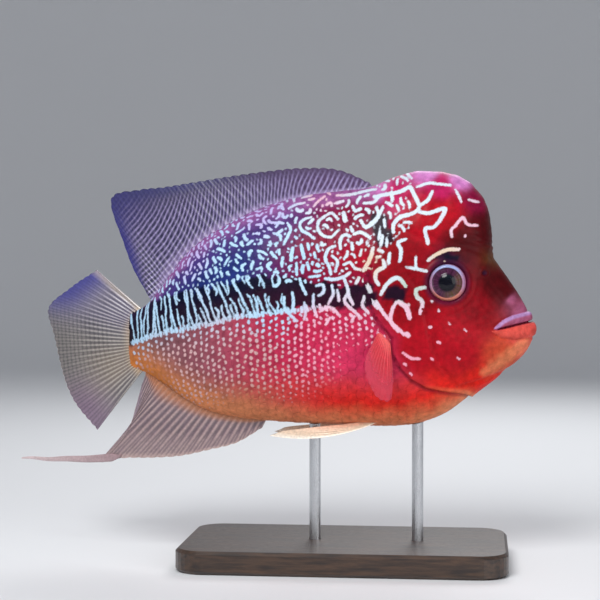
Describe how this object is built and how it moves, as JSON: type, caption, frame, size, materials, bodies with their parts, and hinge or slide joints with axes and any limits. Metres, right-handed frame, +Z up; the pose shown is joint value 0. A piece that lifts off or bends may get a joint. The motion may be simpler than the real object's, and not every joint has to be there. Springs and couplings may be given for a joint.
{
  "type": "flowerhorn cichlid model",
  "caption": "Still life-size flowerhorn cichlid with a nuchal hump, spread fins and a closed mouth, held by two short rods on a flat wooden base.",
  "frame": {"origin": "middle of the underside of the stand's base", "axes": "+X towards the head, -Y towards the right flank, +Z up"},
  "size_m": [0.2834, 0.0942, 0.2075],
  "materials": {
    "skin": "wet scaled skin",
    "lips": "smooth wet skin",
    "fin": "thin membrane between rays",
    "eye": "clear and glossy",
    "wood": "dark satin",
    "steel": "brushed"
  },
  "bodies": {
    "root": {"head": "skin", "nuchal_hump": "skin", "lower_jaw": "skin", "gill_membrane": "skin", "gill_cover_right": "skin", "gill_cover_left": "skin", "trunk_front": "skin", "trunk_rear": "skin", "tail_stalk": "skin", "upper_lip": "lips", "lower_lip": "lips", "dorsal_fin_spiny": "fin", "dorsal_fin_soft": "fin", "anal_fin": "fin", "anal_fin_filament": "fin", "tail_fin": "fin", "pectoral_fin_right": "fin", "pectoral_fin_left": "fin", "pelvic_fin_right": "fin", "pelvic_fin_left": "fin", "eye_right": "eye", "eye_left": "eye", "stand_base": "wood", "stand_rod_front": "steel", "stand_rod_rear": "steel"}
  },
  "joints": []
}
